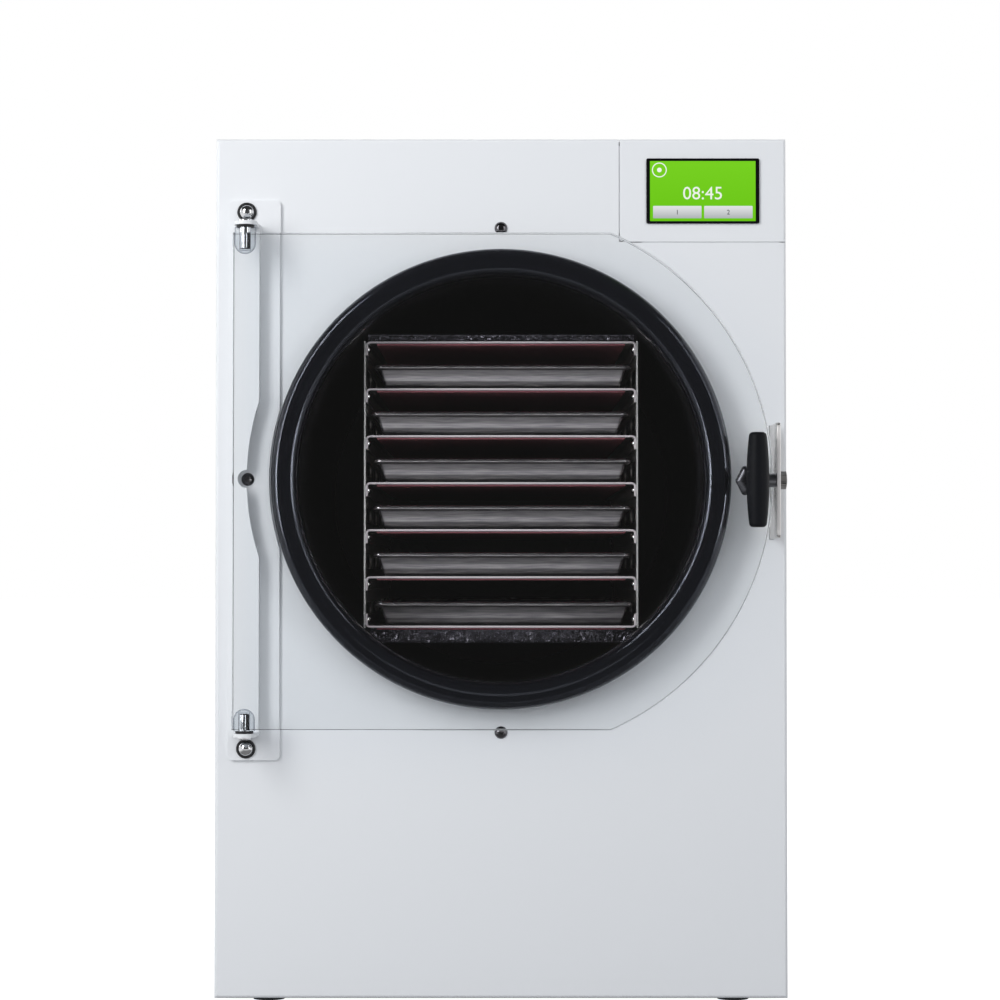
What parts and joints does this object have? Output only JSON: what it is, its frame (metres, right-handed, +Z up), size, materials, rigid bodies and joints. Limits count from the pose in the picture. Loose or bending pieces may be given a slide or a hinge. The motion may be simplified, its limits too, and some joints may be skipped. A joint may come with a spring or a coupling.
{
  "type": "freeze dryer",
  "caption": "Cabinet freeze dryer: round vacuum drum with a rubber-sealed clear hinged door, heated shelf rack with trays, cam latch and a small lit screen.",
  "frame": {"origin": "centre of the bounding box in X and Y, on the floor under the feet", "axes": "+Z up; the door faces -Y; +X to the right as seen from the front"},
  "size_m": [0.5142, 0.726, 0.781],
  "materials": {
    "white_sheet": "satin powder coat",
    "grey_sheet": "galvanised sheet",
    "rubber_black": "moulded",
    "seal_black": "glossy moulded rubber",
    "chamber_black": "satin epoxy coat",
    "bezel_black": "gloss",
    "screen_green": "lit display",
    "board_green": "circuit board",
    "stainless": "brushed",
    "bright_steel": "polished",
    "dark_steel": "dark zinc",
    "copper": "drawn copper",
    "brass_yellow": "turned",
    "foam_cream": "closed cell foam",
    "can_black": "enamel",
    "motor_grey": "enamel",
    "fan_black": "moulded",
    "fin_alu": "rolled",
    "moulded_black": "moulded",
    "lever_red": "dipped vinyl",
    "heater_red": "silicone rubber",
    "foil_silver": "crinkled foil",
    "clear_acrylic": "clear cast acrylic",
    "clear_bush": "clear moulded plastic",
    "handle_black": "satin moulded",
    "gunmetal": "black zinc"
  },
  "bodies": {
    "cabinet": {"base_pan": "grey_sheet", "feet": "rubber_black", "front_panel": "white_sheet", "wrap_cover": "white_sheet", "rear_panel": "white_sheet", "cover_screws": "bright_steel", "control_fascia": "white_sheet", "screen_bezel": "bezel_black", "display_module": "screen_green", "control_board": "board_green", "drum_shell": "chamber_black", "drum_end": "chamber_black", "drum_ring": "dark_steel", "door_seal": "seal_black", "ring_screws": "bright_steel", "chilling_coil": "copper", "foam_jacket": "foam_cream", "drum_saddles": "grey_sheet", "compressor": "can_black", "compressor_grommets": "rubber_black", "condenser": "fin_alu", "fan_shroud": "grey_sheet", "fan_motor": "motor_grey", "filter_drier": "copper", "copper_lines": "copper", "vacuum_port": "brass_yellow", "vacuum_pipe": "stainless", "drain_pipe": "stainless", "drain_valve": "brass_yellow", "power_inlet": "moulded_black", "pump_outlet": "moulded_black", "switch_housing": "moulded_black", "rack_side_left": "stainless", "rack_side_right": "stainless", "shelves": "stainless", "heater_mats": "heater_red", "foil_sheets": "foil_silver", "rack_screws": "bright_steel", "tray_1": "stainless", "tray_2": "stainless", "tray_3": "stainless", "tray_4": "stainless", "tray_5": "stainless", "tray_6": "stainless", "hinge_bracket": "white_sheet", "hinge_nut_plates": "dark_steel", "hinge_screws": "bright_steel", "hinge_pins": "bright_steel", "hinge_washers": "rubber_black", "catch_plate": "bright_steel", "strike_pin": "bright_steel", "strike_nut": "gunmetal"},
    "door": {"door_plate": "clear_acrylic", "door_bushings": "clear_bush"},
    "latch": {"latch_spindle": "bright_steel", "latch_cam": "gunmetal", "latch_handle": "handle_black"},
    "fan": {"fan_rotor": "fan_black"},
    "drain_lever": {"drain_lever": "lever_red"},
    "switch_rocker": {"switch_rocker": "moulded_black"}
  },
  "joints": [
    {"name": "door_hinge", "type": "hinge", "parent": "cabinet", "child": "door", "pos_m": [-0.227, -0.3128, 0.4705], "axis": [0, 0, -1], "range_deg": [0, 110]},
    {"name": "latch_turn", "type": "hinge", "parent": "door", "child": "latch", "pos_m": [0.224, -0.353, 0.4705], "axis": [0, 1, 0], "range_deg": [0, 180]},
    {"name": "fan_spin", "type": "hinge", "parent": "cabinet", "child": "fan", "pos_m": [0.128, 0.2303, 0.125], "axis": [0, 1, 0], "continuous": true},
    {"name": "drain_lever_turn", "type": "hinge", "parent": "cabinet", "child": "drain_lever", "pos_m": [0, 0.35, 0.251], "axis": [0, 0, -1], "range_deg": [0, 90]},
    {"name": "switch_rock", "type": "hinge", "parent": "cabinet", "child": "switch_rocker", "pos_m": [-0.175, 0.3231, 0.062], "axis": [1, 0, 0], "range_deg": [0, 18]}
  ]
}
